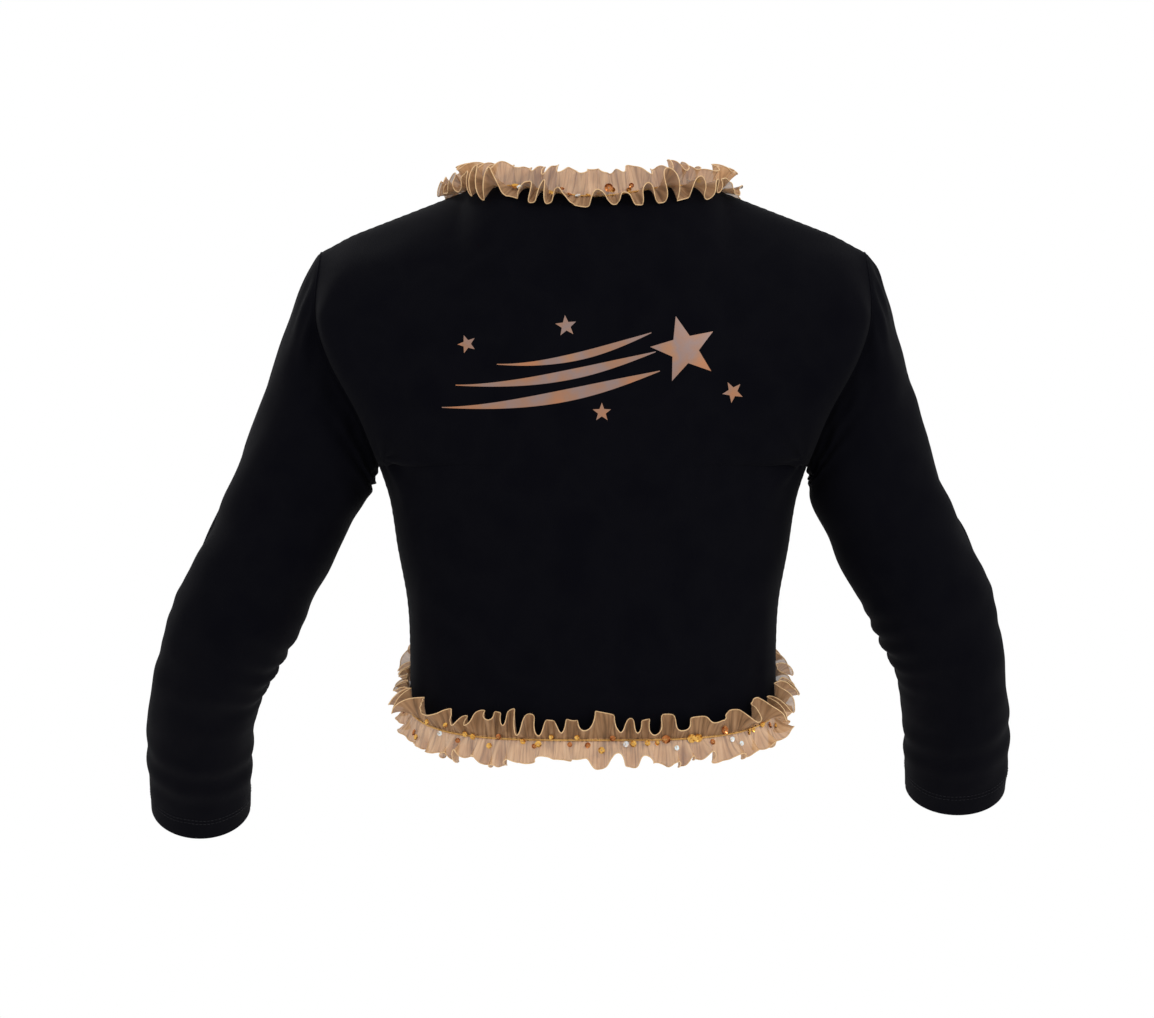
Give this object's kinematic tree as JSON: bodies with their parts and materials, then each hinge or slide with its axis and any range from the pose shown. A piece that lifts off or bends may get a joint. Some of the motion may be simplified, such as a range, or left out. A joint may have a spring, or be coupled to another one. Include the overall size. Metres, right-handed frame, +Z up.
{
  "type": "cheer warm-up jacket",
  "caption": "Cropped long-sleeved stretch-knit cheer jacket with cutaway fronts, gathered frill trim with sequins at neck, front edges and hem, and a foil star motif on the back.",
  "frame": {"origin": "centre of the neck opening at shoulder height, where the wearer's shoulders carry the jacket", "axes": "+Z up, the jacket's front faces -Y, the wearer's left is +X"},
  "size_m": [0.6604, 0.2414, 0.5108],
  "materials": {
    "knit": "black stretch jersey knit, matt, with a very fine rib",
    "organza": "champagne gold organza, sheer, gathered, with a rolled edge",
    "metallic_cord": "gold metallic gathering yarn",
    "sequins": "cup sequins in gold, copper and clear, glossy",
    "foil": "heat-pressed copper foil film, mottled",
    "tape": "black twill stay tape",
    "label": "blank woven satin label"
  },
  "bodies": {
    "torso": {"back_panel": "knit", "neck_tape": "tape", "size_label": "label", "foil_large_star": "foil", "foil_small_star_1": "foil", "foil_small_star_2": "foil", "foil_small_star_3": "foil", "foil_small_star_4": "foil", "foil_tail_1": "foil", "foil_tail_2": "foil", "foil_tail_3": "foil", "left_front_panel": "knit", "left_shoulder_tape": "tape", "right_front_panel": "knit", "right_shoulder_tape": "tape", "neck_ruffle": "organza", "neck_gather_cord": "metallic_cord", "neck_sequin_strand": "sequins", "hem_ruffle": "organza", "hem_gather_cord": "metallic_cord", "hem_sequin_strand": "sequins"},
    "left_sleeve": {"left_upper_sleeve": "knit"},
    "left_forearm": {"left_lower_sleeve": "knit", "left_cuff_hem": "knit"},
    "left_front": {"left_front_flap": "knit", "left_front_ruffle": "organza", "left_front_gather_cord": "metallic_cord", "left_front_sequin_strand": "sequins"},
    "right_sleeve": {"right_upper_sleeve": "knit"},
    "right_forearm": {"right_lower_sleeve": "knit", "right_cuff_hem": "knit"},
    "right_front": {"right_front_flap": "knit", "right_front_ruffle": "organza", "right_front_gather_cord": "metallic_cord", "right_front_sequin_strand": "sequins"}
  },
  "joints": [
    {"name": "left_shoulder", "type": "hinge", "parent": "torso", "child": "left_sleeve", "pos_m": [0.203, 0, -0.03612], "axis": [0, -1, 0], "range_deg": [0, 65]},
    {"name": "left_elbow", "type": "hinge", "parent": "left_sleeve", "child": "left_forearm", "pos_m": [0.27203, -0.05637, -0.31899], "axis": [-0.9037, 0, -0.4282], "range_deg": [0, 70]},
    {"name": "left_front_fold", "type": "hinge", "parent": "torso", "child": "left_front", "pos_m": [0.09535, -0.08652, -0.2116], "axis": [-0.0708, -0.0528, 0.9961], "range_deg": [0, 75]},
    {"name": "right_shoulder", "type": "hinge", "parent": "torso", "child": "right_sleeve", "pos_m": [-0.203, 0, -0.03612], "axis": [0, 1, 0], "range_deg": [0, 65]},
    {"name": "right_elbow", "type": "hinge", "parent": "right_sleeve", "child": "right_forearm", "pos_m": [-0.25563, -0.05106, -0.30845], "axis": [-0.9373, 0, 0.3486], "range_deg": [0, 70]},
    {"name": "right_front_fold", "type": "hinge", "parent": "torso", "child": "right_front", "pos_m": [-0.09535, -0.08652, -0.2116], "axis": [-0.0708, 0.0528, -0.9961], "range_deg": [0, 75]}
  ]
}
